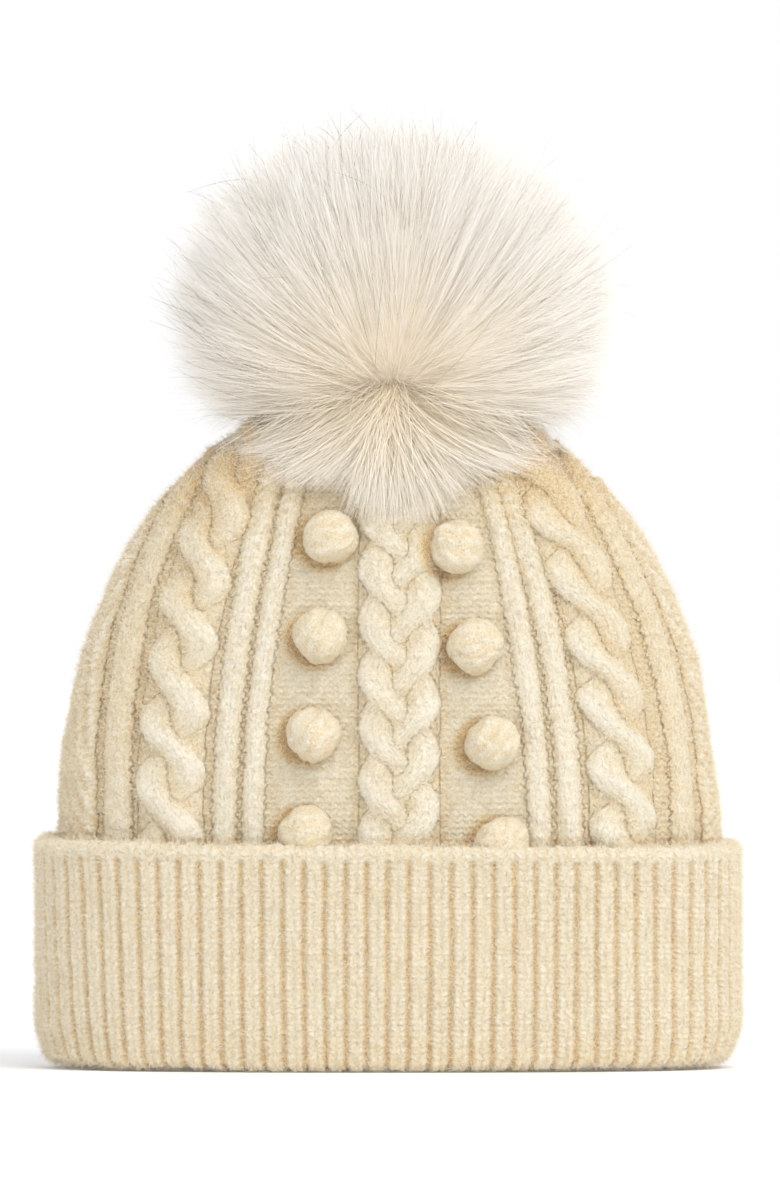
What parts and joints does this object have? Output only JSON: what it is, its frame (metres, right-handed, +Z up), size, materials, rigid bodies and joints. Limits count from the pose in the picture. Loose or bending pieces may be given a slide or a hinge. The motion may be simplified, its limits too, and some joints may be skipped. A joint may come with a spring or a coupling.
{
  "type": "pom pom beanie",
  "caption": "Cable-knit beanie with rope cables, a centre braid and raised bobbles, a turned-up ribbed cuff and a faux-fur pom that snaps off.",
  "frame": {"origin": "centre of the cuff's underside, where the hat rests", "axes": "+Z up through the crown to the pom; the cabled front faces -Y; +X is the right-hand side seen from the front"},
  "size_m": [0.2224, 0.134, 0.296],
  "materials": {
    "cable_knit": "brushed wool-blend cable knit, matt and fuzzy",
    "rib_knit": "brushed wool-blend rib knit, matt and fuzzy",
    "yarn": "plied wool-blend yarn",
    "label_ribbon": "smooth woven ribbon, blank",
    "snap_metal": "nickel-plated pressed steel",
    "backing_cloth": "knitted backing cloth",
    "polyester_fill": "loose polyester fibre",
    "faux_fur": "long straight faux-fur pile, silky sheen"
  },
  "bodies": {
    "hat": {"knit_body": "cable_knit", "ribbed_cuff": "rib_knit", "crown_gather_yarn": "yarn", "side_seam": "yarn", "cuff_tacks": "yarn", "care_label": "label_ribbon", "front_rope_left": "cable_knit", "front_rope_right": "cable_knit", "front_braid": "cable_knit", "front_bobbles_left": "cable_knit", "front_bobbles_right": "cable_knit", "front_ribs_left": "cable_knit", "front_ribs_right": "cable_knit", "front_edge_ribs": "cable_knit", "back_rope_left": "cable_knit", "back_rope_right": "cable_knit", "back_braid": "cable_knit", "back_bobbles_left": "cable_knit", "back_bobbles_right": "cable_knit", "back_ribs_left": "cable_knit", "back_ribs_right": "cable_knit", "back_edge_ribs": "cable_knit"},
    "crown_stud": {"snap_stud": "snap_metal", "stud_backing_cap": "snap_metal"},
    "snap_spring": {"snap_ring_spring": "snap_metal"},
    "pom_base": {"snap_socket": "snap_metal", "pom_base_cap": "snap_metal", "pom_base_cloth": "backing_cloth"},
    "pom_ball": {"pom_gather_thread": "yarn", "pom_backing": "backing_cloth", "pom_stuffing": "polyester_fill", "pom_fur": "faux_fur"}
  },
  "joints": [
    {"name": "pom_nod", "type": "hinge", "parent": "hat", "child": "crown_stud", "pos_m": [0, 0, 0.2049], "axis": [1, 0, 0], "range_deg": [-12, 12], "stiffness_Nm_per_rad": 0.15},
    {"name": "pom_pull", "type": "slide", "parent": "crown_stud", "child": "snap_spring", "axis": [0, 0, 1], "range_m": [0, 0.05]},
    {"name": "pom_spin", "type": "hinge", "parent": "snap_spring", "child": "pom_base", "pos_m": [0, 0, 0.2115], "axis": [0, 0, 1], "continuous": true},
    {"name": "pom_sway", "type": "hinge", "parent": "pom_base", "child": "pom_ball", "pos_m": [0, 0, 0.2144], "axis": [0, 1, 0], "range_deg": [-12, 12], "stiffness_Nm_per_rad": 0.15}
  ]
}
